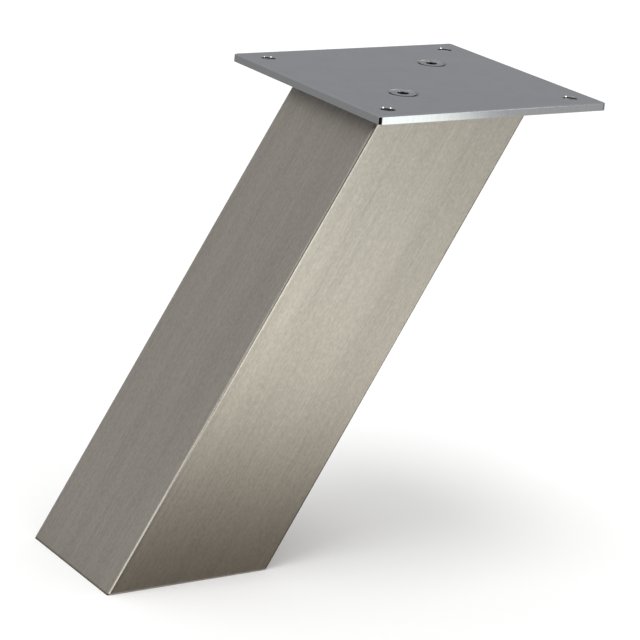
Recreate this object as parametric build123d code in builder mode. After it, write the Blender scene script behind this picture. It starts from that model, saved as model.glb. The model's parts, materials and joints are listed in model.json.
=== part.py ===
from build123d import *
from math import cos, radians, sin, tan
import os

# Bar support bracket: a square stainless tube leans over, cut level at both ends.
# It carries a thin square plate that is screwed under a raised bar top, and it is
# bolted down to the worktop through a thread in its foot.
# Millimetres and degrees. The origin is the centre of the foot, on the worktop.
# +X is the way the tube leans, and +Z is up.

# Tube
tube_width = 60.0           # outside, across two flat sides
tube_wall = 1.5
tube_corner_radius = 1.0
bore_corner_radius = 0.5
lean_angle = 60.0           # between the tube's axis and the worktop
column_height = 180.0       # worktop to the underside of the top plate

# Top plate
plate_overhang = 22.0       # past each straight-standing side of the tube
plate_thickness = 3.0
plate_corner_radius = 1.5
plate_edge_break = 0.3
fixing_inset = 10.0         # centre of a corner hole to the plate's edges
fixing_hole_radius = 2.75
fixing_mouth = 0.4          # chamfer where a corner hole opens on top
fixing_sink_radius = 5.0    # countersink underneath, for a wood screw's head

# Welded inserts
insert_thickness = 8.0
insert_clearance = 0.1      # to each inner wall of the tube
insert_corner_radius = 2.0
insert_recess = 3.0         # set back from the tube's cut end
worktop_thread_radius = 5.0
thread_lead_in = 0.6

# Weld beads
weld_length = 20.0
weld_setback = 0.5          # the bead stays this far inside the cut end
weld_crown = 0.3

# Countersunk socket screws
screw_inset = 7.5           # centre of a screw to the tube's inner walls
screw_thread_radius = 3.0
screw_thread_clearance = 0.05
screw_hole_radius = 3.3
screw_sink_radius = 6.1
screw_head_radius = 5.7
screw_head_land = 0.3       # straight rim of the head, above its cone
screw_tip_reach = 2.0       # past the insert
screw_tip_chamfer = 0.8
socket_width = 4.0          # across the flats of the hexagon
socket_depth = 2.2
socket_mouth_radius = 2.4
socket_pilot_radius = 1.9
socket_cone_depth = 0.8

sink_angle = 90

# Sizes that follow
lean = radians(lean_angle)
tube_direction = (cos(lean), 0, sin(lean))
bore_width = tube_width - 2 * tube_wall
bore_half_level = bore_width / 2 / sin(lean)
stock_length = column_height / sin(lean) + tube_width
top_x = column_height / tan(lean)
plate_side = tube_width + 2 * plate_overhang
fixing_pitch = plate_side - 2 * fixing_inset
weld_leg = insert_recess - weld_setback
screw_offset = bore_width / 2 - screw_inset
screw_spots = [(-screw_offset, -screw_offset), (screw_offset, screw_offset)]
screw_length = plate_thickness + insert_recess + insert_thickness + screw_tip_reach

across_tube = Plane(origin=(0, 0, 0), x_dir=(0, 1, 0), z_dir=tube_direction)
worktop = Plane.XY
under_plate = Plane(origin=(top_x, 0, column_height))
on_plate = under_plate.offset(plate_thickness)
from_below = Plane(origin=under_plate.origin, x_dir=(1, 0, 0), z_dir=(0, 0, -1))


def level_cut(low, high):
    """Keeps what lies between two heights of the part being made."""
    split(bisect_by=worktop.offset(low), keep=Keep.TOP)
    split(bisect_by=worktop.offset(high), keep=Keep.BOTTOM)


def weld_section(plane, corner, along_insert, along_wall):
    """The crowned fillet of weld in the corner of insert and wall."""
    insert_toe = corner + along_insert * weld_leg
    wall_toe = corner + along_wall * weld_leg
    middle = (insert_toe + wall_toe) / 2
    crown = middle + (middle - corner).normalized() * weld_crown
    with BuildSketch(plane) as section:
        with BuildLine():
            Polyline(insert_toe, corner, wall_toe)
            ThreePointArc(wall_toe, crown, insert_toe)
        make_face()
    return section.sketch


os.makedirs("parts", exist_ok=True)

# The tube is drawn square across its own axis, then cut level top and bottom
with BuildPart() as column:
    with BuildSketch(across_tube):
        RectangleRounded(tube_width, tube_width, tube_corner_radius)
        RectangleRounded(bore_width, bore_width, bore_corner_radius, mode=Mode.SUBTRACT)
    extrude(amount=stock_length, both=True)
    level_cut(0, column_height)

column.part.label = "column"
export_step(column.part, "parts/column.step")

# A thick insert is welded inside each end, with its slanted sides along the tube's walls.
# The foot's has one thread for the worktop bolt, and the top's has the two screws' threads.
for insert_name, outward, cut_end, thread_centre, thread_radius, thread_spots in (
    ("foot_insert", -1, 0, 0, worktop_thread_radius, [(0, 0)]),
    ("top_insert", 1, column_height, top_x, screw_thread_radius, screw_spots),
):
    outer_face = cut_end - outward * insert_recess
    inner_face = outer_face - outward * insert_thickness
    insert_width = bore_width - 2 * insert_clearance
    wall_x = outer_face / tan(lean)
    with BuildPart() as insert:
        with BuildSketch(across_tube):
            RectangleRounded(insert_width, insert_width, insert_corner_radius)
        extrude(amount=stock_length, both=True)
        level_cut(min(outer_face, inner_face), max(outer_face, inner_face))
        with Locations(Plane(origin=(thread_centre, 0, outer_face), x_dir=(1, 0, 0), z_dir=(0, 0, outward))):
            with Locations(*thread_spots):
                CounterSinkHole(
                    radius=thread_radius,
                    counter_sink_radius=thread_radius + thread_lead_in,
                    counter_sink_angle=sink_angle,
                )
        for side in (-1, 1):
            slanted_wall = weld_section(
                Plane.XZ,
                Vector(wall_x + side * bore_half_level, outer_face),
                Vector(-side, 0),
                Vector(cos(lean), sin(lean)) * outward,
            )
            straight_wall = weld_section(
                Plane.YZ.offset(wall_x),
                Vector(side * bore_width / 2, outer_face),
                Vector(-side, 0),
                Vector(0, outward),
            )
            extrude(slanted_wall, amount=weld_length / 2, both=True)
            extrude(straight_wall, amount=weld_length / 2, both=True)
    insert.part.label = insert_name
    export_step(insert.part, f"parts/{insert_name}.step")

# The plate lies on the tube's cut end. Wood screws go up through its corners
with BuildPart() as top_plate:
    with BuildSketch(under_plate):
        RectangleRounded(plate_side, plate_side, plate_corner_radius)
    extrude(amount=plate_thickness)
    chamfer(top_plate.faces().sort_by(Axis.Z)[-1].edges(), length=plate_edge_break)
    with Locations(from_below):
        with GridLocations(fixing_pitch, fixing_pitch, 2, 2):
            CounterSinkHole(
                radius=fixing_hole_radius,
                counter_sink_radius=fixing_sink_radius,
                counter_sink_angle=sink_angle,
            )
    hole_mouths = top_plate.edges().filter_by(GeomType.CIRCLE).group_by(Axis.Z)[-1]
    chamfer(hole_mouths, length=fixing_mouth)
    with Locations(on_plate):
        with Locations(*screw_spots):
            CounterSinkHole(
                radius=screw_hole_radius,
                counter_sink_radius=screw_sink_radius,
                counter_sink_angle=sink_angle,
            )

top_plate.part.label = "top_plate"
export_step(top_plate.part, "parts/top_plate.step")

# Each screw's cone seats in the plate's countersink, and its shank runs into the top insert.
# Depths are measured down from the plate's top face
seat_depth = screw_sink_radius - screw_head_radius
head_top = seat_depth - screw_head_land
shank_radius = screw_thread_radius - screw_thread_clearance
cone_end = seat_depth + screw_head_radius - shank_radius
socket_floor = head_top + socket_depth

for screw_name, (spot_x, spot_y) in zip(("front_screw", "rear_screw"), screw_spots):
    screw_centre = on_plate.origin + Vector(spot_x, spot_y, 0)
    with BuildPart() as screw:
        with BuildSketch(Plane(origin=screw_centre, x_dir=(1, 0, 0), z_dir=(0, -1, 0))):
            with BuildLine():
                Polyline(
                    (0, -socket_floor - socket_cone_depth),
                    (socket_pilot_radius, -socket_floor),
                    (socket_pilot_radius, -head_top - socket_mouth_radius + socket_pilot_radius),
                    (socket_mouth_radius, -head_top),
                    (screw_head_radius, -head_top),
                    (screw_head_radius, -seat_depth),
                    (shank_radius, -cone_end),
                    (shank_radius, -screw_length + screw_tip_chamfer),
                    (shank_radius - screw_tip_chamfer, -screw_length),
                    (0, -screw_length),
                    close=True,
                )
            make_face()
        revolve(axis=Axis(screw_centre, (0, 0, 1)))
        with BuildSketch(Plane(screw_centre).offset(-head_top)):
            RegularPolygon(socket_width / 2, 6, major_radius=False)
        extrude(amount=-socket_depth, mode=Mode.SUBTRACT)
    screw.part.label = screw_name
    export_step(screw.part, f"parts/{screw_name}.step")
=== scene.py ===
"""Bar support bracket: brushed tube, rolled plate, turned screws, welded inserts and a plain studio."""

import json
import math

import bmesh
import bpy
from bpy.props import FloatProperty, FloatVectorProperty, PointerProperty
from mathutils import Matrix, Vector


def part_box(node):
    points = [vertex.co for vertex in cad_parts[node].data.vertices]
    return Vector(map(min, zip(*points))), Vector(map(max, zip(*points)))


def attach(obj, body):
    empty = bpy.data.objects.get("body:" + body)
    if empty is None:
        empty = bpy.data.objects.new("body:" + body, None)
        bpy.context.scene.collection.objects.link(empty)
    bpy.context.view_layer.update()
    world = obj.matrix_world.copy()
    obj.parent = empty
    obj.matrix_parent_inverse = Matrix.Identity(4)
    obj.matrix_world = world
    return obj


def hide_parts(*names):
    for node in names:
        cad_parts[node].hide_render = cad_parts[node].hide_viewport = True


bl_info = {
    "name": "Bar support bracket",
    "version": (1, 0, 0),
    "blender": (4, 5, 0),
    "location": "3D View > Sidebar > Bracket",
    "description": "Finishes the steel pieces of a slanted bar support bracket and sets up its studio",
    "category": "Object",
}

# The frame is in metres. MM turns the sizes below, given in millimetres, into them
MM = 0.001

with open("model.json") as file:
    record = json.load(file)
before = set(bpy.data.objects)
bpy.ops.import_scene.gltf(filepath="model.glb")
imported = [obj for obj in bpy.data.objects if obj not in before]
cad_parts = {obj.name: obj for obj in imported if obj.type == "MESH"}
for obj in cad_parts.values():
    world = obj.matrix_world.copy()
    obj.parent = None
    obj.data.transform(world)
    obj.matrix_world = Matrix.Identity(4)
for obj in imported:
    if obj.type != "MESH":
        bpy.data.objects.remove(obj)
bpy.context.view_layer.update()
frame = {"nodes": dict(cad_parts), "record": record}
nodes = frame["nodes"]
mounts = {mount["name"]: mount for mount in frame["record"]["mounts"]}

# Where the pieces lie, read from the frame
plate_centre = Vector(mounts["bar_top_face"]["pos_m"])
plate_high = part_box("top_plate")[1]
foot_insert_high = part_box("foot_insert")[1]
column_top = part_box("column")[1].z
tube_direction = Vector((plate_centre.x, 0, column_top)).normalized()
across_slant = Vector((-tube_direction.z, 0, tube_direction.x))
tube_lean = math.atan2(tube_direction.z, tube_direction.x)
thread_radius = mounts["worktop_thread"]["dims"]["r_mm"] * MM
thread_start = mounts["worktop_thread"]["pos_m"][2]
tube_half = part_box("column")[1].y
plate_half = plate_high.y
hole_offset = mounts["bar_top_holes"]["dims"]["spacing_x_mm"] * MM / 2
hole_radius = mounts["bar_top_holes"]["dims"]["hole_r_mm"] * MM
# The screws' shape and their finish share this
SOCKET_MOUTH_RADIUS = 2.32 * MM
# How bright the rolled and turned steel stays at a grazing angle, next to a perfect mirror
STEEL_GRAZING = 0.525
# Where a noise pattern counts as its darkest and as its lightest
PATTERN_LOW, PATTERN_HIGH = 0.3, 0.7


def srgb(hex_colour):
    """An sRGB hex colour as linear red, green, blue and alpha."""
    channels = [int(hex_colour[i:i + 2], 16) / 255 for i in (1, 3, 5)]
    linear = [c / 12.92 if c <= 0.04045 else ((c + 0.055) / 1.055) ** 2.4 for c in channels]
    return (*linear, 1.0)


def grey(level):
    """A neutral colour of a linear level."""
    return (level, level, level, 1.0)


def darker(colour, share):
    """The same colour at a share of its brightness."""
    return (*(share * c for c in colour[:3]), 1.0)


# Sizes and colours that a user would change

class TubeFinish(bpy.types.PropertyGroup):
    """Brushed finish of the slanted tube"""
    dark: FloatVectorProperty(
        name="Dark line", description="Colour of the darkest brushed lines",
        default=srgb("#8e8982"), size=4, subtype="COLOR", min=0, max=1,
    )
    light: FloatVectorProperty(
        name="Light line", description="Colour of the lightest brushed lines",
        default=srgb("#a9a49b"), size=4, subtype="COLOR", min=0, max=1,
    )
    roughness: FloatProperty(
        name="Roughness", description="Mean roughness of the brushed faces",
        default=0.428, min=0, max=1, subtype="FACTOR",
    )
    corner_roughness: FloatProperty(
        name="Corner roughness", description="Roughness of the corners, which the belt hardly reaches",
        default=0.24, min=0, max=1, subtype="FACTOR",
    )
    stretch: FloatProperty(
        name="Anisotropy", description="How much wider reflections spread across the lines than along them",
        default=0.344, min=0, max=1, subtype="FACTOR",
    )
    mill: FloatVectorProperty(
        name="Mill finish", description="Colour of the bore and of the sawn ends",
        default=srgb("#a3a19d"), size=4, subtype="COLOR", min=0, max=1,
    )
    line_width: FloatProperty(
        name="Line width", description="Width of one brushed line",
        default=0.62 * MM, subtype="DISTANCE",
    )
    fleck_length: FloatProperty(
        name="Fleck length", description="Length of a short scratch of the belt",
        default=1.4 * MM, subtype="DISTANCE",
    )
    line_length: FloatProperty(
        name="Line length", description="Length of a long brushed line",
        default=28 * MM, subtype="DISTANCE",
    )


class PlateFinish(bpy.types.PropertyGroup):
    """Rolled finish of the top plate"""
    dark: FloatVectorProperty(
        name="Dark patch", description="Darker tone of the rolled face",
        default=srgb("#919399"), size=4, subtype="COLOR", min=0, max=1,
    )
    light: FloatVectorProperty(
        name="Light patch", description="Lighter tone of the rolled face",
        default=srgb("#96989e"), size=4, subtype="COLOR", min=0, max=1,
    )
    cut: FloatVectorProperty(
        name="Cut edge", description="Colour of the laser-cut edges and the machined holes",
        default=srgb("#959697"), size=4, subtype="COLOR", min=0, max=1,
    )
    roughness: FloatProperty(
        name="Roughness", description="Mean roughness of the rolled face",
        default=0.234, min=0, max=1, subtype="FACTOR",
    )
    edge_roughness: FloatProperty(
        name="Edge roughness", description="Roughness of the laser-cut edges and of the corner holes",
        default=0.066, min=0, max=1, subtype="FACTOR",
    )


class ScrewShape(bpy.types.PropertyGroup):
    """The countersunk screws and their finish"""
    thread_pitch: FloatProperty(
        name="Thread pitch", description="Distance between thread crests",
        default=1 * MM, subtype="DISTANCE",
    )
    head_radius: FloatProperty(
        name="Head radius", description="Radius of the head's rim, inside its seat",
        default=5.08 * MM, subtype="DISTANCE",
    )
    rim_rounding: FloatProperty(
        name="Rim rounding", description="Radius of the head's rounded rim",
        default=0.3 * MM, subtype="DISTANCE",
    )
    roughness: FloatProperty(
        name="Roughness", description="Roughness of the turned steel",
        default=0.2, min=0, max=1, subtype="FACTOR",
    )
    steel: FloatVectorProperty(
        name="Steel", description="Colour of the turned steel",
        default=srgb("#939499"), size=4, subtype="COLOR", min=0, max=1,
    )


class InsertShape(bpy.types.PropertyGroup):
    """The welded inserts, their worktop thread and weld beads"""
    thread_pitch: FloatProperty(
        name="Thread pitch", description="Distance between crests of the worktop thread",
        default=1.5 * MM, subtype="DISTANCE",
    )
    ripple_pitch: FloatProperty(
        name="Ripple pitch", description="Distance between two ripples of a weld bead",
        default=1.3 * MM, subtype="DISTANCE",
    )
    steel: FloatVectorProperty(
        name="Steel", description="Colour of the sawn mild steel",
        default=srgb("#77767a"), size=4, subtype="COLOR", min=0, max=1,
    )


class Studio(bpy.types.PropertyGroup):
    """Camera and light"""
    azimuth: FloatProperty(
        name="Camera azimuth", description="Angle round the bracket from straight in front",
        default=math.radians(-33.963), subtype="ANGLE",
    )
    elevation: FloatProperty(
        name="Camera elevation", description="Angle above level",
        default=math.radians(17.427), subtype="ANGLE",
    )
    roll: FloatProperty(
        name="Camera roll", description="Tilt about the line of sight",
        default=math.radians(5.195), subtype="ANGLE",
    )
    distance: FloatProperty(
        name="Camera distance", description="From the aimed point",
        default=1032.8 * MM, subtype="DISTANCE",
    )
    aim: FloatVectorProperty(
        name="Camera aim", description="Point on the tube's front face that fills the picture's middle",
        default=(48.7 * MM, -30 * MM, 99.4 * MM), size=3, subtype="TRANSLATION",
    )
    lens: FloatProperty(
        name="Lens", description="Focal length on a 36 mm sensor", default=154.79, min=1, unit="CAMERA",
    )
    floor_width: FloatProperty(
        name="Floor width", description="Side of the square of paper", default=12.0, subtype="DISTANCE",
    )
    sky: FloatProperty(
        name="Sky", description="Strength of the light from all round", default=0.824, min=0,
    )
    overhead: FloatProperty(
        name="Overhead", description="Strength of the overhead light", default=0.814, min=0,
    )
    overhead_spread: FloatProperty(
        name="Overhead spread", description="Angle that the overhead light fills, seen from the floor",
        default=math.radians(25.8), subtype="ANGLE",
    )
    overhead_tilt: FloatProperty(
        name="Overhead tilt", description="Angle of the overhead light from straight above",
        default=math.radians(5.2), subtype="ANGLE",
    )
    overhead_azimuth: FloatProperty(
        name="Overhead azimuth", description="Side that the overhead light leans to, from +X",
        default=math.radians(-140), subtype="ANGLE",
    )


# Building blocks

def add_node(tree, kind, inputs=None, **settings):
    """One shader node. Settings are its properties, and inputs its sockets' values or what feeds them."""
    node = tree.nodes.new(kind)
    for name, value in settings.items():
        setattr(node, name, value)
    for name, value in (inputs or {}).items():
        if isinstance(value, bpy.types.NodeSocket):
            tree.links.new(value, node.inputs[name])
        else:
            node.inputs[name].default_value = value
    return node


def new_material(name):
    """An empty node material, and the tree to build it in."""
    material = bpy.data.materials.new(name)
    material.use_nodes = True
    material.node_tree.nodes.clear()
    return material, material.node_tree


def tone_between(tree, pattern, dark, light):
    """A colour that follows a pattern from dark, at its low value, to light."""
    ramp = add_node(tree, "ShaderNodeValToRGB", {"Fac": pattern})
    ends = ramp.color_ramp.elements
    ends[0].position, ends[0].color = PATTERN_LOW, tuple(dark)
    ends[1].position, ends[1].color = PATTERN_HIGH, tuple(light)
    return ramp.outputs["Color"]


def finish_node(node_name, material):
    """Gives a carried-over piece its one finish."""
    slots = nodes[node_name].data.materials
    slots.clear()
    slots.append(material)


def skinned(name, rings, material):
    """A closed, smooth-shaded steel piece from rings with equally many points, capped at both ends."""
    sharpest_smooth = math.radians(35)
    shape = bmesh.new()
    rows = [[shape.verts.new(point) for point in ring] for ring in rings]
    count = len(rows[0])
    for low, high in zip(rows, rows[1:]):
        for i in range(count):
            shape.faces.new((low[i], low[(i + 1) % count], high[(i + 1) % count], high[i]))
    shape.faces.new(reversed(rows[0]))
    shape.faces.new(rows[-1])
    bmesh.ops.recalc_face_normals(shape, faces=shape.faces)
    for face in shape.faces:
        face.smooth = True
    mesh = bpy.data.meshes.new(name)
    shape.to_mesh(mesh)
    shape.free()
    mesh.set_sharp_from_angle(angle=sharpest_smooth)
    mesh.materials.append(material)
    piece = bpy.data.objects.new(name, mesh)
    bpy.context.scene.collection.objects.link(piece)
    return piece


def on_circle(radius, angle, height=0.0):
    """A point on a level circle round the origin."""
    return Vector((radius * math.cos(angle), radius * math.sin(angle), height))


# Finishes

def grain_pattern(tree, place, width, length, detail):
    """Noise stretched along Z, with features of a width and length in metres."""
    stretched = add_node(
        tree, "ShaderNodeVectorMath",
        {0: place, 1: (1 / width, 1 / width, 1 / length)}, operation="MULTIPLY",
    ).outputs["Vector"]
    return add_node(
        tree, "ShaderNodeTexNoise",
        {"Vector": stretched, "Scale": 1.0, "Detail": detail, "Roughness": 0.55},
    ).outputs["Fac"]


def brushed_stainless(tube):
    """Austenitic stainless tube, belt brushed along its length with about 240 grit.

    The eye gets fine lines with short flecks between them, a sheen that spreads across the lines, and a
    warm grey. The corners are smoother, the tube's bore keeps the duller mill finish, and its cut ends
    show the saw.
    A real 240 grit scratch is under 0.1 mm wide, so it is drawn wider to show in the render.
    """
    # How far in from the tube's outer faces a corner's finish and the bore's finish start and are full
    corner_start, corner_full = 1.6 * MM, 0.9 * MM
    bore_start, bore_full = 0.9 * MM, 1.2 * MM
    band_width, band_length = 16 * tube.line_width, 6 * tube.line_length
    line_share, band_share = 0.4, 0.2
    roughness_swing = 0.01
    saw_angle = math.radians(78)
    saw_mark_width, saw_mark_length = 0.4 * MM, 30 * MM
    mill_dark_share, mill_roughness = 0.8, 0.42

    material, tree = new_material("brushed_stainless")
    place = add_node(tree, "ShaderNodeTexCoord")
    upright = add_node(
        tree, "ShaderNodeVectorRotate",
        {"Vector": place.outputs["Object"], "Angle": tube_lean - math.pi / 2}, rotation_type="Y_AXIS",
    ).outputs["Vector"]
    flecks = grain_pattern(tree, upright, tube.line_width, tube.fleck_length, detail=2.0)
    lines = grain_pattern(tree, upright, tube.line_width, tube.line_length, detail=3.0)
    bands = grain_pattern(tree, upright, band_width, band_length, detail=1.0)
    brushing = add_node(tree, "ShaderNodeMix", {"Factor": line_share, 2: flecks, 3: lines}).outputs[0]
    pattern = add_node(tree, "ShaderNodeMix", {"Factor": band_share, 2: brushing, 3: bands}).outputs[0]
    tone = tone_between(tree, pattern, tube.dark, tube.light)
    # Near a corner, a place is far from the tube's axis both ways, and in the bore it is near it both ways
    from_axis = add_node(tree, "ShaderNodeVectorMath", {0: upright}, operation="ABSOLUTE").outputs["Vector"]
    aside = add_node(tree, "ShaderNodeSeparateXYZ", {"Vector": from_axis}).outputs
    both_ways = {0: aside["X"], 1: aside["Y"]}
    nearer = add_node(tree, "ShaderNodeMath", both_ways, operation="MINIMUM").outputs[0]
    farther = add_node(tree, "ShaderNodeMath", both_ways, operation="MAXIMUM").outputs[0]
    corner = add_node(
        tree, "ShaderNodeMapRange",
        {"Value": nearer, "From Min": tube_half - corner_start, "From Max": tube_half - corner_full},
    ).outputs["Result"]
    face_roughness = add_node(
        tree, "ShaderNodeMapRange",
        {"Value": pattern, "From Min": PATTERN_LOW, "From Max": PATTERN_HIGH,
         "To Min": tube.roughness + roughness_swing, "To Max": tube.roughness - roughness_swing},
    ).outputs["Result"]
    roughness = add_node(
        tree, "ShaderNodeMix", {"Factor": corner, 2: face_roughness, 3: tube.corner_roughness},
    ).outputs[0]
    relief = add_node(
        tree, "ShaderNodeBump", {"Height": brushing, "Strength": 0.03, "Distance": 0.03 * MM},
    ).outputs["Normal"]
    brush = add_node(
        tree, "ShaderNodeCombineXYZ", {"X": tube_direction.x, "Y": tube_direction.y, "Z": tube_direction.z},
    ).outputs["Vector"]
    brushed = add_node(
        tree, "ShaderNodeBsdfPrincipled",
        {"Base Color": tone, "Metallic": 1.0, "Roughness": roughness, "Normal": relief,
         "Anisotropic": tube.stretch, "Anisotropic Rotation": 0.25, "Tangent": brush},
    ).outputs["BSDF"]
    # The bore lies a wall's thickness inside the brushed faces, and only the sawn ends look up or down
    inside = add_node(
        tree, "ShaderNodeMapRange",
        {"Value": farther, "From Min": tube_half - bore_full, "From Max": tube_half - bore_start,
         "To Min": 1.0, "To Max": 0.0},
    ).outputs["Result"]
    facing = add_node(tree, "ShaderNodeSeparateXYZ", {"Vector": place.outputs["Normal"]}).outputs["Z"]
    level = add_node(tree, "ShaderNodeMath", {0: facing}, operation="ABSOLUTE").outputs[0]
    sawn = add_node(
        tree, "ShaderNodeMapRange", {"Value": level, "From Min": 0.9, "From Max": 0.97},
    ).outputs["Result"]
    unbrushed = add_node(tree, "ShaderNodeMath", {0: inside, 1: sawn}, operation="MAXIMUM").outputs[0]
    saw_way = add_node(
        tree, "ShaderNodeVectorRotate",
        {"Vector": place.outputs["Object"], "Angle": saw_angle}, rotation_type="Y_AXIS",
    ).outputs["Vector"]
    saw_marks = grain_pattern(tree, saw_way, saw_mark_width, saw_mark_length, detail=2.0)
    marks = add_node(
        tree, "ShaderNodeBump", {"Height": saw_marks, "Strength": 0.35, "Distance": 0.05 * MM},
    ).outputs["Normal"]
    mill_tone = tone_between(tree, saw_marks, darker(tube.mill, mill_dark_share), tube.mill)
    mill = add_node(
        tree, "ShaderNodeBsdfPrincipled",
        {"Base Color": mill_tone, "Metallic": 1.0, "Roughness": mill_roughness, "Normal": marks},
    ).outputs["BSDF"]
    whole = add_node(tree, "ShaderNodeMixShader", {"Fac": unbrushed, 1: brushed, 2: mill}).outputs["Shader"]
    add_node(tree, "ShaderNodeOutputMaterial", {"Surface": whole})
    return material


def rolled_stainless(plate):
    """Cold-rolled stainless sheet with its mill finish, laser cut.

    The eye gets a smooth satin grey, slightly blue, with faint clouds and hardly any grain. The cut edges
    are glossier, with the upright ripples of the laser, and so are the mouths of the corner holes. The
    walls of these holes get dark painted shade, the screw seats are duller, and the underside gets painted
    shade.
    A real ripple is about 0.1 mm wide, so it is drawn wider to show in the render.
    """
    cloud_size = 9 * MM
    ripple_width, ripple_length, ripple_dark_share = 0.45 * MM, 9 * MM, 0.93
    # From a corner hole's axis: how far its wall with painted shade, its mouth and the space before a screw
    # seat reach
    wall_reach, mouth_reach, seat_start = hole_radius + 0.06 * MM, 12 * MM, 14 * MM
    # Painted shade: the share of brightness left on the corner holes' walls, and on the underside
    hole_shade_share, underside_shade_share = 0.2, 0.6
    seat_roughness, edge_depth = 0.45, 2 * MM

    material, tree = new_material("cold_rolled_stainless")
    place = add_node(tree, "ShaderNodeTexCoord")
    clouds = add_node(
        tree, "ShaderNodeTexNoise",
        {"Vector": place.outputs["Object"], "Scale": 1 / cloud_size, "Detail": 4.0, "Roughness": 0.7},
    ).outputs["Fac"]
    ripples = grain_pattern(tree, place.outputs["Object"], ripple_width, ripple_length, detail=2.0)
    facing = add_node(tree, "ShaderNodeSeparateXYZ", {"Vector": place.outputs["Normal"]}).outputs["Z"]
    level = add_node(tree, "ShaderNodeMath", {0: facing}, operation="ABSOLUTE").outputs[0]
    rolled = add_node(
        tree, "ShaderNodeMapRange", {"Value": level, "From Min": 0.8, "From Max": 0.95},
    ).outputs["Result"]
    pattern = add_node(tree, "ShaderNodeMix", {"Factor": rolled, 2: ripples, 3: clouds}).outputs[0]
    face_tone = tone_between(tree, clouds, plate.dark, plate.light)
    cut_tone = tone_between(tree, ripples, darker(plate.cut, ripple_dark_share), plate.cut)
    tone = add_node(
        tree, "ShaderNodeMix", {"Factor": rolled, 6: cut_tone, 7: face_tone}, data_type="RGBA",
    ).outputs[2]
    # The four corner holes are alike, so one distance, in a plate folded into a quarter, finds their walls
    from_centre = add_node(
        tree, "ShaderNodeVectorMath", {0: place.outputs["Object"], 1: plate_centre}, operation="SUBTRACT",
    ).outputs["Vector"]
    folded = add_node(tree, "ShaderNodeVectorMath", {0: from_centre}, operation="ABSOLUTE").outputs["Vector"]
    from_hole = add_node(
        tree, "ShaderNodeVectorMath", {0: folded, 1: (-hole_offset, -hole_offset, 0.0)}, operation="ADD",
    ).outputs["Vector"]
    flat_way = add_node(
        tree, "ShaderNodeVectorMath", {0: from_hole, 1: (1.0, 1.0, 0.0)}, operation="MULTIPLY",
    ).outputs["Vector"]
    away = add_node(tree, "ShaderNodeVectorMath", {0: flat_way}, operation="LENGTH").outputs["Value"]
    # Painted shade darkens the corner holes' walls, within this reach of their axes
    painted_hole_shade = add_node(tree, "ShaderNodeMath", {0: away, 1: wall_reach}, operation="LESS_THAN").outputs[0]
    # Painted shade darkens the plate's underside
    painted_underside_shade = add_node(
        tree, "ShaderNodeMapRange", {"Value": facing, "From Min": -0.9, "From Max": -0.97},
    ).outputs["Result"]
    # Painted shade: the hole walls go down to a fifth of their brightness, and the underside to three fifths
    for where, share in ((painted_hole_shade, hole_shade_share), (painted_underside_shade, underside_shade_share)):
        tone = add_node(
            tree, "ShaderNodeMix", {"Factor": where, 6: tone, 7: grey(share)},
            data_type="RGBA", blend_type="MULTIPLY",
        ).outputs[2]
    seats = add_node(
        tree, "ShaderNodeMapRange",
        {"Value": away, "From Min": mouth_reach, "From Max": seat_start,
         "To Min": plate.edge_roughness, "To Max": seat_roughness},
    ).outputs["Result"]
    across = add_node(tree, "ShaderNodeSeparateXYZ", {"Vector": folded}).outputs
    outermost = add_node(
        tree, "ShaderNodeMath", {0: across["X"], 1: across["Y"]}, operation="MAXIMUM",
    ).outputs[0]
    rim = add_node(
        tree, "ShaderNodeMath", {0: outermost, 1: plate_half - edge_depth}, operation="GREATER_THAN",
    ).outputs[0]
    cut = add_node(tree, "ShaderNodeMix", {"Factor": rim, 2: seats, 3: plate.edge_roughness}).outputs[0]
    roughness = add_node(tree, "ShaderNodeMix", {"Factor": rolled, 2: cut, 3: plate.roughness}).outputs[0]
    depth = add_node(
        tree, "ShaderNodeMapRange", {"Value": rolled, "To Min": 0.12, "To Max": 0.02},
    ).outputs["Result"]
    relief = add_node(
        tree, "ShaderNodeBump", {"Height": pattern, "Strength": depth, "Distance": 0.05 * MM},
    ).outputs["Normal"]
    steel = add_node(
        tree, "ShaderNodeBsdfPrincipled",
        {"Base Color": tone, "Metallic": 1.0, "Roughness": roughness, "Normal": relief,
         "Specular Tint": grey(STEEL_GRAZING)},
    ).outputs["BSDF"]
    add_node(tree, "ShaderNodeOutputMaterial", {"Surface": steel})
    return material


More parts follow.
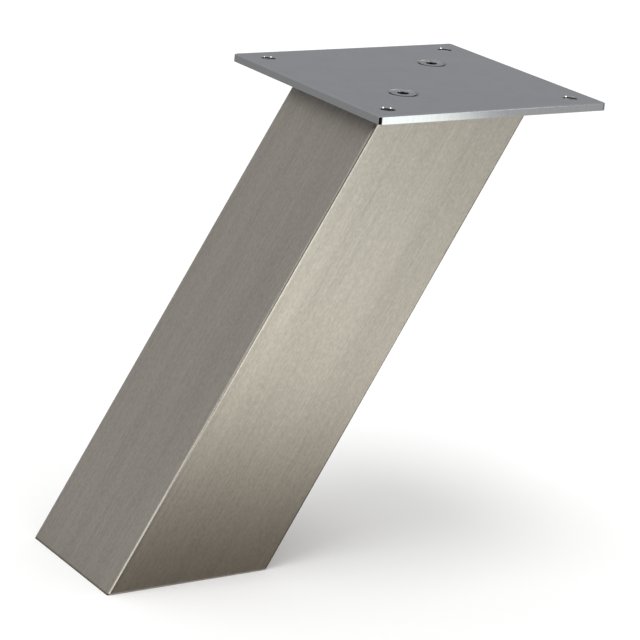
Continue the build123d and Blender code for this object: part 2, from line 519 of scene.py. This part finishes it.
def turned_stainless(screw):
    """Turned stainless screw steel: smooth, with fine rings from the lathe on the head.

    The broached socket and the gap round the head get painted shade, which darkens them nearly to black.
    """
    ring_spacing = 2.2 * MM
    # Painted shade leaves the socket and the gap round the head an eighth of the steel's brightness
    painted_shade_share, socket_roughness = 0.12, 0.5
    # Painted shade darkens inside the socket's mouth and outside the head's face, but only below a small
    # depth
    socket_reach, face_reach = SOCKET_MOUTH_RADIUS - 0.05 * MM, screw.head_radius - 1 * MM
    sunk_depth = 0.1 * screw.rim_rounding

    material, tree = new_material("turned_stainless")
    place = add_node(tree, "ShaderNodeTexCoord").outputs["Object"]
    rings = add_node(
        tree, "ShaderNodeTexWave", {"Vector": place, "Scale": 1 / ring_spacing, "Distortion": 0.4},
        wave_type="RINGS", rings_direction="Z",
    ).outputs["Fac"]
    flat_place = add_node(
        tree, "ShaderNodeVectorMath", {0: place, 1: (1.0, 1.0, 0.0)}, operation="MULTIPLY",
    ).outputs["Vector"]
    radius = add_node(tree, "ShaderNodeVectorMath", {0: flat_place}, operation="LENGTH").outputs["Value"]
    height = add_node(tree, "ShaderNodeSeparateXYZ", {"Vector": place}).outputs["Z"]
    within = add_node(tree, "ShaderNodeMath", {0: radius, 1: socket_reach}, operation="LESS_THAN").outputs[0]
    beyond = add_node(
        tree, "ShaderNodeMath", {0: radius, 1: face_reach}, operation="GREATER_THAN",
    ).outputs[0]
    either = add_node(tree, "ShaderNodeMath", {0: within, 1: beyond}, operation="MAXIMUM").outputs[0]
    sunk = add_node(tree, "ShaderNodeMath", {0: height, 1: -sunk_depth}, operation="LESS_THAN").outputs[0]
    # Painted shade covers the sunk socket and the sunk gap round the head
    painted_shade = add_node(tree, "ShaderNodeMath", {0: either, 1: sunk}, operation="MULTIPLY").outputs[0]
    tone = add_node(
        tree, "ShaderNodeMix",
        {"Factor": painted_shade, 6: tuple(screw.steel), 7: darker(screw.steel, painted_shade_share)}, data_type="RGBA",
    ).outputs[2]
    roughness = add_node(
        tree, "ShaderNodeMix", {"Factor": within, 2: screw.roughness, 3: socket_roughness},
    ).outputs[0]
    relief = add_node(
        tree, "ShaderNodeBump", {"Height": rings, "Strength": 0.1, "Distance": 0.02 * MM},
    ).outputs["Normal"]
    turned = add_node(
        tree, "ShaderNodeBsdfPrincipled",
        {"Base Color": tone, "Metallic": 1.0, "Roughness": roughness, "Normal": relief,
         "Specular Tint": grey(STEEL_GRAZING)},
    ).outputs["BSDF"]
    add_node(tree, "ShaderNodeOutputMaterial", {"Surface": turned})
    return material


def sawn_mild_steel(insert, name, beads):
    """Mild steel bar, sawn to length.

    The eye gets a dull grey with fine saw lines, darker scale, and straw and blue heat tint round the
    welds. beads are the middles of the weld beads.
    """
    line_width, line_length = 0.5 * MM, 40 * MM
    patch_size, dark_share = 6 * MM, 0.55
    # Distances from a bead: the farthest that counts, how much the tint wanders, its start and its end
    farthest, wandering = 30 * MM, 5 * MM
    tint_start, tint_end = 10 * MM, 19 * MM

    material, tree = new_material(name)
    place = add_node(tree, "ShaderNodeTexCoord").outputs["Object"]
    stretched = add_node(
        tree, "ShaderNodeVectorMath",
        {0: place, 1: (1 / line_length, 1 / line_width, 1 / line_length)}, operation="MULTIPLY",
    ).outputs["Vector"]
    saw_lines = add_node(
        tree, "ShaderNodeTexNoise", {"Vector": stretched, "Scale": 1.0, "Detail": 3.0},
    ).outputs["Fac"]
    scale_patches = add_node(
        tree, "ShaderNodeTexNoise", {"Vector": place, "Scale": 1 / patch_size, "Detail": 5.0},
    ).outputs["Fac"]
    pattern = add_node(tree, "ShaderNodeMix", {"Factor": 0.5, 2: saw_lines, 3: scale_patches}).outputs[0]
    tone = tone_between(tree, pattern, darker(insert.steel, dark_share), insert.steel)
    nearest = farthest
    for bead in beads:
        away = add_node(
            tree, "ShaderNodeVectorMath", {0: place, 1: bead}, operation="DISTANCE",
        ).outputs["Value"]
        nearest = add_node(tree, "ShaderNodeMath", {0: away, 1: nearest}, operation="MINIMUM").outputs[0]
    wander = add_node(
        tree, "ShaderNodeMath", {0: scale_patches, 1: wandering, 2: nearest}, operation="MULTIPLY_ADD",
    ).outputs[0]
    coolness = add_node(
        tree, "ShaderNodeMapRange", {"Value": wander, "From Min": tint_start, "From Max": tint_end},
    ).outputs["Result"]
    heat_tint = add_node(tree, "ShaderNodeValToRGB", {"Fac": coolness})
    colours = heat_tint.color_ramp.elements
    colours[0].position, colours[0].color = 0.0, srgb("#c6c6cc")
    colours[1].position, colours[1].color = 1.0, grey(1.0)
    for position, colour in ((0.22, "#c0c4d6"), (0.4, "#ccbfc8"), (0.62, "#e3d3ad"), (0.8, "#f3eddc")):
        colours.new(position).color = srgb(colour)
    tinted = add_node(
        tree, "ShaderNodeMix", {"Factor": 1.0, 6: tone, 7: heat_tint.outputs["Color"]},
        data_type="RGBA", blend_type="MULTIPLY",
    ).outputs[2]
    relief = add_node(
        tree, "ShaderNodeBump", {"Height": saw_lines, "Strength": 0.3, "Distance": 0.05 * MM},
    ).outputs["Normal"]
    sawn = add_node(
        tree, "ShaderNodeBsdfPrincipled",
        {"Base Color": tinted, "Metallic": 1.0, "Roughness": 0.45, "Normal": relief},
    ).outputs["BSDF"]
    add_node(tree, "ShaderNodeOutputMaterial", {"Surface": sawn})
    return material


def weld_metal():
    """Stainless filler, laid by TIG: silver ripples with straw and blue heat tint between them."""
    tint_size = 4 * MM
    material, tree = new_material("tig_weld_metal")
    place = add_node(tree, "ShaderNodeTexCoord").outputs["Object"]
    heat = add_node(
        tree, "ShaderNodeTexNoise", {"Vector": place, "Scale": 1 / tint_size, "Detail": 3.0},
    ).outputs["Fac"]
    tint = add_node(tree, "ShaderNodeValToRGB", {"Fac": heat})
    ends = tint.color_ramp.elements
    ends[0].position, ends[0].color = 0.35, srgb("#6a6f86")
    ends[1].position, ends[1].color = 0.65, srgb("#b9b7b2")
    straw = ends.new(0.5)
    straw.color = srgb("#a4906c")
    weld = add_node(
        tree, "ShaderNodeBsdfPrincipled",
        {"Base Color": tint.outputs["Color"], "Metallic": 1.0, "Roughness": 0.3},
    ).outputs["BSDF"]
    add_node(tree, "ShaderNodeOutputMaterial", {"Surface": weld})
    return material


# Pieces

def add_worktop_thread(insert, material):
    """The helical ridge of the worktop thread, on the wall of the foot insert's hole.

    It follows the metric profile: a crest a quarter of the pitch wide, and a depth of 0.541 pitches. Its
    root sinks a little into the wall, and it runs out over a third of a turn at both ends.
    """
    pitch = insert.thread_pitch
    profile_depth, sink, thinnest = 0.541 * pitch, 0.03 * MM, 0.05
    crest_radius = thread_radius - profile_depth
    root_radius = thread_radius + sink
    half_root, half_crest = 0.43 * pitch, 0.125 * pitch
    low, high = thread_start + half_root, foot_insert_high.z - half_root
    steps_per_turn = 48
    steps = int((high - low) / pitch * steps_per_turn)
    run_out = steps_per_turn / 3
    rings = []
    for step in range(steps + 1):
        angle = 2 * math.pi * step / steps_per_turn
        height = low + pitch * step / steps_per_turn
        depth = max(thinnest, min(1, step / run_out, (steps - step) / run_out))
        crest = root_radius + (crest_radius - root_radius) * depth
        rings.append([
            on_circle(root_radius, angle, height - half_root),
            on_circle(crest, angle, height - half_crest),
            on_circle(crest, angle, height + half_crest),
            on_circle(root_radius, angle, height + half_root),
        ])
    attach(skinned("worktop_thread_ridge", rings, material), "root")


def add_weld_bead(name, corner, along, inwards, outwards, insert, material):
    """A rippled bead over a plain one of the solid: from the insert's face to the tube's wall.

    corner is the middle of the joint's line, along its direction, inwards the way over the insert's face,
    and outwards the way along the wall to the tube's cut end.
    """
    half_length, leg = 11.5 * MM, 2.75 * MM
    crown, root_depth = 0.42 * MM, 0.2 * MM
    ripple_height, ripple_lag = 0.09 * MM, 0.35 * insert.ripple_pitch
    thinnest_end, end_bluntness = 0.06, 16
    arc_points, steps = 9, 96
    bisector = (inwards + outwards).normalized()
    rings = []
    for step in range(steps + 1):
        travel = -1 + 2 * step / steps
        swell = max(thinnest_end, math.sqrt(1 - abs(travel) ** end_bluntness))
        ring = [corner + along * travel * half_length - bisector * root_depth]
        for i in range(arc_points):
            share = i / (arc_points - 1)
            lag = ripple_lag * (1 - (2 * share - 1) ** 2)
            phase = 2 * math.pi * (travel * half_length - lag) / insert.ripple_pitch
            ripple = ripple_height * math.cos(phase) * math.sin(math.pi * share)
            toe_line = inwards * leg * (1 - share) + outwards * leg * share
            bulge = bisector * (crown * math.sin(math.pi * share) + ripple)
            ring.append(corner + along * travel * half_length + (toe_line + bulge) * swell)
        rings.append(ring)
    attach(skinned(name, rings, material), "root")


def add_weld_beads(node_name, outward, low, high, insert, material):
    """The beads on an insert's four sides, towards the tube's cut end. Returns their middles."""
    thickness = 8 * MM
    face_height = low.z + thickness if outward > 0 else high.z - thickness
    wall_x = face_height / math.tan(tube_lean)
    half_y = high.y
    half_x = half_y / math.sin(tube_lean)
    y_axis, x_axis = Vector((0, 1, 0)), Vector((1, 0, 0))
    out_along_tube, out_upright = tube_direction * outward, Vector((0, 0, outward))
    middles = []
    for side, word in ((-1, "left"), (1, "right")):
        middle = Vector((wall_x + side * half_x, 0, face_height))
        add_weld_bead(
            f"{node_name}_{word}_bead", middle, y_axis, x_axis * -side, out_along_tube, insert, material,
        )
        middles.append(middle)
    for side, word in ((-1, "front"), (1, "back")):
        middle = Vector((wall_x, side * half_y, face_height))
        add_weld_bead(
            f"{node_name}_{word}_bead", middle, x_axis, y_axis * -side, out_upright, insert, material,
        )
        middles.append(middle)
    return middles


def add_screw(node_name, screw, material):
    """A countersunk socket screw with its thread, from the bottom of its socket round to its tip."""
    low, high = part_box(node_name)
    centre = Vector(((low.x + high.x) / 2, (low.y + high.y) / 2, plate_high.z))
    head_radius, rounding, head_land = screw.head_radius, screw.rim_rounding, 0.3 * MM
    mouth_radius, flat_radius, pilot_radius = SOCKET_MOUTH_RADIUS, 2.0 * MM, 1.9 * MM
    socket_depth, cone_depth, cone_tip = 2.2 * MM, 0.8 * MM, 0.05 * MM
    crest_radius, length, tip_chamfer = 2.95 * MM, plate_high.z - low.z, 0.8 * MM
    pitch = screw.thread_pitch
    # The thread's profile in pitches: its depth, half its root and one flank
    profile_depth, half_root, flank = 0.56, 0.0625, 0.3125
    root_radius = crest_radius - profile_depth * pitch
    neck = -head_land - (head_radius - crest_radius)
    segments, samples_per_pitch, rim_steps = 96, 8, 5
    angles = [2 * math.pi * i / segments for i in range(segments)]

    def hexagon(angle):
        sixth = math.pi / 3
        return flat_radius / math.cos(angle % sixth - sixth / 2)

    def ring(radius, height):
        return [on_circle(radius, angle, height) for angle in angles]

    rings = [
        ring(cone_tip, -socket_depth - cone_depth),
        ring(pilot_radius, -socket_depth),
        [on_circle(hexagon(angle), angle, -socket_depth) for angle in angles],
        [on_circle(hexagon(angle), angle, hexagon(angle) - mouth_radius) for angle in angles],
        ring(mouth_radius, 0),
    ]
    for step in range(rim_steps + 1):
        turn = math.pi / 2 * step / rim_steps
        rings.append(ring(head_radius - rounding * (1 - math.sin(turn)), -rounding * (1 - math.cos(turn))))
    rings += [ring(head_radius, -head_land), ring(crest_radius, neck)]
    rows = int((length + neck) / pitch * samples_per_pitch)
    for row in range(1, rows + 1):
        height = neck + (-length - neck) * row / rows
        run_in = min(1, row / samples_per_pitch)
        chamfered = crest_radius - max(0, tip_chamfer - (length + height))
        points = []
        for angle in angles:
            phase = (height / pitch - angle / (2 * math.pi)) % 1
            ridge = min(1, max(0, (abs(phase - 0.5) - half_root) / flank))
            radius = crest_radius - (crest_radius - root_radius) * (1 - ridge) * run_in
            points.append(on_circle(min(radius, chamfered), angle, height))
        rings.append(points)
    piece = skinned(f"{node_name}_threaded", rings, material)
    piece.location = centre
    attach(piece, "root")
    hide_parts(node_name)


# Studio

# Cards that only reflections see. Angles are in degrees and sizes in metres. A level of 1 is as bright as
# the white surroundings, and core is the share of a card's radius that is at its full level
WHITE = grey(1.0)
# On the floor: azimuth, distance, half width, half depth, level, core, colour and far colour
FLOOR_CARDS = (
    ("front_pool", -63.8, 0.862, 0.232, 0.763, 3.41, 0.706, srgb("#fffcf0"), srgb("#fafffb")),
    ("right_flag", -34.0, 0.752, 0.219, 0.564, 0.235, 0.546, srgb("#ffe9c4"), None),
    ("near_floor_flag", -135.0, 0.735, 0.69, 0.509, 0.03, 0.92, WHITE, None),
    ("foot_shade", -43.0, 0.0, 0.214, 0.391, 0.275, 0.142, srgb("#fff2e0"), None),
    ("back_floor_flag", 57.0, 1.3, 1.0, 0.8, 0.5, 0.6, WHITE, None),
)
LOWEST_CARD, CARD_GAP = 0.3 * MM, 0.1 * MM
# Upright beside the tube, for its slanted face: angle round the tube, distance, height above the tube's
# middle, half width, half height, level and core
SIDE_CARDS = (("side_flag", 144.2, 0.55, 0.177, 0.583, 0.678, 0.69, 0.779),)
# Long ones across the tube, for its near corner: angle round it, climb along it, half width, half height,
# level and core
LONG_CARDS = (
    ("room_flag", 22.0, 0.125, 0.7, 0.298, 0.1, 0.6),
    ("low_softbox", 35.0, -0.207, 1.0, 0.253, 2.3, 0.7),
)
LONG_CARD_DISTANCE = 1.4
# Round softboxes overhead: azimuth, elevation, radius and level
SOFTBOXES = (
    ("right_softbox", -26, 54, 0.2, 8.0),
    ("left_softbox", 163, 67, 0.17, 6.0),
)
SOFTBOX_DISTANCE, SOFTBOX_CORE = 1.6, 0.7


def at_azimuth(azimuth, distance, height):
    """A place or a way by its azimuth in degrees from +X, its level distance and its height."""
    return on_circle(distance, math.radians(azimuth), height)


def round_tube(angle, climb):
    """A direction by its angle in degrees round the tube, from the front face, and its climb along it."""
    turn = math.radians(angle)
    flat = Vector((0, -1, 0)) * math.cos(turn) + across_slant * math.sin(turn)
    return (flat * math.sqrt(1 - climb * climb) + tube_direction * climb).normalized()


def seen_by_eye_or_metal(tree):
    """1 for rays from the camera, a reflection or glass, and 0 for the rest."""
    path = add_node(tree, "ShaderNodeLightPath")
    either = add_node(
        tree, "ShaderNodeMath",
        {0: path.outputs["Is Camera Ray"], 1: path.outputs["Is Glossy Ray"]}, operation="MAXIMUM",
    ).outputs[0]
    return add_node(
        tree, "ShaderNodeMath", {0: either, 1: path.outputs["Is Transmission Ray"]}, operation="MAXIMUM",
    ).outputs[0]


def white_paper():
    """Matt white studio paper. It takes the bracket's shadow, and its lit part shows as plain white."""
    paper_tone = grey(0.8)
    material, tree = new_material("matt_white_paper")
    plain = add_node(tree, "ShaderNodeBsdfDiffuse", {"Color": paper_tone})
    shown = add_node(tree, "ShaderNodeBsdfDiffuse", {"Color": WHITE})
    paper = add_node(
        tree, "ShaderNodeMixShader",
        {"Fac": seen_by_eye_or_metal(tree), 1: plain.outputs["BSDF"], 2: shown.outputs["BSDF"]},
    )
    add_node(tree, "ShaderNodeOutputMaterial", {"Surface": paper.outputs["Shader"]})
    return material


def flat_square(name, half_width, material):
    """A level square of the studio, round the origin."""
    shape = bmesh.new()
    bmesh.ops.create_grid(shape, x_segments=1, y_segments=1, size=half_width)
    mesh = bpy.data.meshes.new(name)
    shape.to_mesh(mesh)
    shape.free()
    mesh.materials.append(material)
    square = bpy.data.objects.new(name, mesh)
    bpy.context.scene.collection.objects.link(square)
    return square


def add_floor(width):
    """A large square of white paper at the height of the worktop."""
    floor = flat_square("floor", width / 2, white_paper())


def add_sky(strength):
    """Even light from all round, which the eye and the metal see as white."""
    world = bpy.data.worlds.new("studio_sky")
    world.use_nodes = True
    tree = world.node_tree
    tree.nodes.clear()
    plain = add_node(tree, "ShaderNodeBackground", {"Color": WHITE, "Strength": strength})
    white = add_node(tree, "ShaderNodeBackground", {"Color": WHITE, "Strength": 1.0})
    sky = add_node(
        tree, "ShaderNodeMixShader",
        {"Fac": seen_by_eye_or_metal(tree), 1: plain.outputs["Background"], 2: white.outputs["Background"]},
    )
    add_node(tree, "ShaderNodeOutputWorld", {"Surface": sky.outputs["Shader"]})
    bpy.context.scene.world = world


def card_light(name, level, core, colour, far_colour):
    """The glow of a card, which fades to nothing at its rim.

    With a far colour, its colour changes to that along the card's up direction, over its near end.
    """
    near_end, far_start = -0.9, -0.5
    material, tree = new_material(name)
    place = add_node(tree, "ShaderNodeTexCoord").outputs["Object"]
    radius = add_node(tree, "ShaderNodeVectorMath", {0: place}, operation="LENGTH").outputs["Value"]
    if far_colour:
        along = add_node(tree, "ShaderNodeSeparateXYZ", {"Vector": place}).outputs["Y"]
        farness = add_node(
            tree, "ShaderNodeMapRange", {"Value": along, "From Min": near_end, "From Max": far_start},
        ).outputs["Result"]
        colour = add_node(
            tree, "ShaderNodeMix", {"Factor": farness, 6: colour, 7: far_colour}, data_type="RGBA",
        ).outputs[2]
    cover = add_node(
        tree, "ShaderNodeMapRange",
        {"Value": radius, "From Min": core, "From Max": 1.0, "To Min": 1.0, "To Max": 0.0},
        interpolation_type="SMOOTHSTEP",
    ).outputs["Result"]
    clear = add_node(tree, "ShaderNodeBsdfTransparent").outputs["BSDF"]
    glow = add_node(tree, "ShaderNodeEmission", {"Color": colour, "Strength": level}).outputs["Emission"]
    card = add_node(tree, "ShaderNodeMixShader", {"Fac": cover, 1: clear, 2: glow}).outputs["Shader"]
    add_node(tree, "ShaderNodeOutputMaterial", {"Surface": card})
    return material


def add_card(name, centre, normal, up, half_width, half_height, level, core, colour=WHITE, far_colour=None):
    """A soft-edged oval studio card that only reflections see: bright as a reflector, or dark as a flag."""
    plane = flat_square(name, 1, card_light(name, level, core, colour, far_colour))
    forward = Vector(normal).normalized()
    side = Vector(up).cross(forward).normalized()
    turn = Matrix((side, forward.cross(side), forward)).transposed().to_quaternion()
    plane.matrix_world = Matrix.LocRotScale(Vector(centre), turn, (half_width, half_height, 1))
    for ray in ("camera", "diffuse", "shadow", "transmission", "volume_scatter"):
        setattr(plane, f"visible_{ray}", False)


def add_overhead_lamp(studio):
    """A wide overhead light, which casts the soft shadow. The metal sees the softboxes instead."""
    lamp = bpy.data.lights.new("overhead", "SUN")
    lamp.energy = studio.overhead
    lamp.angle = studio.overhead_spread
    holder = bpy.data.objects.new("overhead", lamp)
    tilt = studio.overhead_tilt
    towards = at_azimuth(math.degrees(studio.overhead_azimuth), math.sin(tilt), math.cos(tilt))
    holder.rotation_euler = towards.to_track_quat("Z", "Y").to_euler()
    holder.visible_glossy = False
    bpy.context.scene.collection.objects.link(holder)


def add_camera(studio):
    """The camera stands at the photograph's angle and is rolled about its line of sight."""
    back = Vector((
        math.sin(studio.azimuth) * math.cos(studio.elevation),
        -math.cos(studio.azimuth) * math.cos(studio.elevation),
        math.sin(studio.elevation),
    ))
    lens = bpy.data.cameras.new("camera")
    lens.sensor_width = 36.0
    lens.lens = studio.lens
    lens.clip_start = 0.05
    camera = bpy.data.objects.new("camera", lens)
    level_side = Vector((0, 0, 1)).cross(back).normalized()
    level = Matrix((level_side, back.cross(level_side), back)).transposed()
    turn = (level @ Matrix.Rotation(studio.roll, 3, "Z")).to_quaternion()
    camera.matrix_world = Matrix.LocRotScale(Vector(studio.aim) + back * studio.distance, turn, None)
    bpy.context.scene.collection.objects.link(camera)
    bpy.context.scene.camera = camera


# Operators

class BRACKET_OT_column(bpy.types.Operator):
    """Gives the slanted tube its brushed finish"""
    bl_idname = "bracket.column"
    bl_label = "Finish column"

    def execute(self, context):
        finish_node("column", brushed_stainless(context.scene.bracket_tube))
        return {"FINISHED"}


class BRACKET_OT_plate(bpy.types.Operator):
    """Gives the top plate its rolled finish"""
    bl_idname = "bracket.plate"
    bl_label = "Finish top plate"

    def execute(self, context):
        finish_node("top_plate", rolled_stainless(context.scene.bracket_plate))
        return {"FINISHED"}


class BRACKET_OT_screws(bpy.types.Operator):
    """Builds both plate screws with their threads"""
    bl_idname = "bracket.screws"
    bl_label = "Build screws"

    def execute(self, context):
        screw = context.scene.bracket_screw
        material = turned_stainless(screw)
        for node_name in ("front_screw", "rear_screw"):
            add_screw(node_name, screw, material)
        return {"FINISHED"}


class BRACKET_OT_inserts(bpy.types.Operator):
    """Finishes both welded inserts, and adds the worktop thread and the weld beads"""
    bl_idname = "bracket.inserts"
    bl_label = "Finish inserts"

    def execute(self, context):
        insert = context.scene.bracket_insert
        weld = weld_metal()
        for node_name, outward in (("foot_insert", -1), ("top_insert", 1)):
            low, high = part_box(node_name)
            beads = add_weld_beads(node_name, outward, low, high, insert, weld)
            steel = sawn_mild_steel(insert, f"sawn_mild_steel_{node_name}", beads)
            finish_node(node_name, steel)
            if outward < 0:
                add_worktop_thread(insert, steel)
        return {"FINISHED"}


class BRACKET_OT_stage(bpy.types.Operator):
    """Sets up the white floor, the light and the camera"""
    bl_idname = "bracket.stage"
    bl_label = "Set up studio"

    def execute(self, context):
        studio = context.scene.bracket_studio
        add_floor(studio.floor_width)
        add_sky(studio.sky)
        add_overhead_lamp(studio)
        upward, sideways = Vector((0, 0, 1)), Vector((0, 1, 0))
        middle = Vector((plate_centre.x / 2, 0, column_top / 2))
        for index, (name, azimuth, distance, *looks) in enumerate(FLOOR_CARDS):
            place = at_azimuth(azimuth, distance, LOWEST_CARD + CARD_GAP * index)
            add_card(name, place, upward, at_azimuth(azimuth, 1, 0), *looks)
        for name, angle, distance, height, *looks in SIDE_CARDS:
            way = round_tube(angle, 0)
            way.z = 0
            way.normalize()
            add_card(name, middle + way * distance + upward * height, -way, upward, *looks)
        for name, angle, climb, *looks in LONG_CARDS:
            way = round_tube(angle, climb)
            add_card(name, middle + way * LONG_CARD_DISTANCE, -way, tube_direction, *looks)
        for name, azimuth, elevation, radius, level in SOFTBOXES:
            climb = math.radians(elevation)
            way = at_azimuth(azimuth, math.cos(climb), math.sin(climb))
            place = middle + way * SOFTBOX_DISTANCE
            add_card(name, place, -way, sideways, radius, radius, level, SOFTBOX_CORE)
        add_camera(studio)
        context.scene.view_settings.view_transform = "Standard"
        return {"FINISHED"}


class BRACKET_PT_panel(bpy.types.Panel):
    """Lists the bracket's operators in the sidebar"""
    bl_idname = "BRACKET_PT_panel"
    bl_label = "Bar support bracket"
    bl_space_type = "VIEW_3D"
    bl_region_type = "UI"
    bl_category = "Bracket"

    def draw(self, context):
        for name in OPERATOR_ORDER:
            self.layout.operator(name)


OPERATOR_ORDER = ("bracket.column", "bracket.plate", "bracket.screws", "bracket.inserts", "bracket.stage")
SETTINGS = {
    "bracket_tube": TubeFinish,
    "bracket_plate": PlateFinish,
    "bracket_screw": ScrewShape,
    "bracket_insert": InsertShape,
    "bracket_studio": Studio,
}
CLASSES = (
    *SETTINGS.values(),
    BRACKET_OT_column,
    BRACKET_OT_plate,
    BRACKET_OT_screws,
    BRACKET_OT_inserts,
    BRACKET_OT_stage,
    BRACKET_PT_panel,
)


def register():
    for kind in CLASSES:
        bpy.utils.register_class(kind)
    for name, group in SETTINGS.items():
        setattr(bpy.types.Scene, name, PointerProperty(type=group))


def unregister():
    for name in SETTINGS:
        delattr(bpy.types.Scene, name)
    for kind in reversed(CLASSES):
        bpy.utils.unregister_class(kind)


def main():
    register()
    bpy.ops.bracket.column()
    bpy.ops.bracket.plate()
    bpy.ops.bracket.screws()
    bpy.ops.bracket.inserts()
    bpy.ops.bracket.stage()


if __name__ == "__main__":
    main()
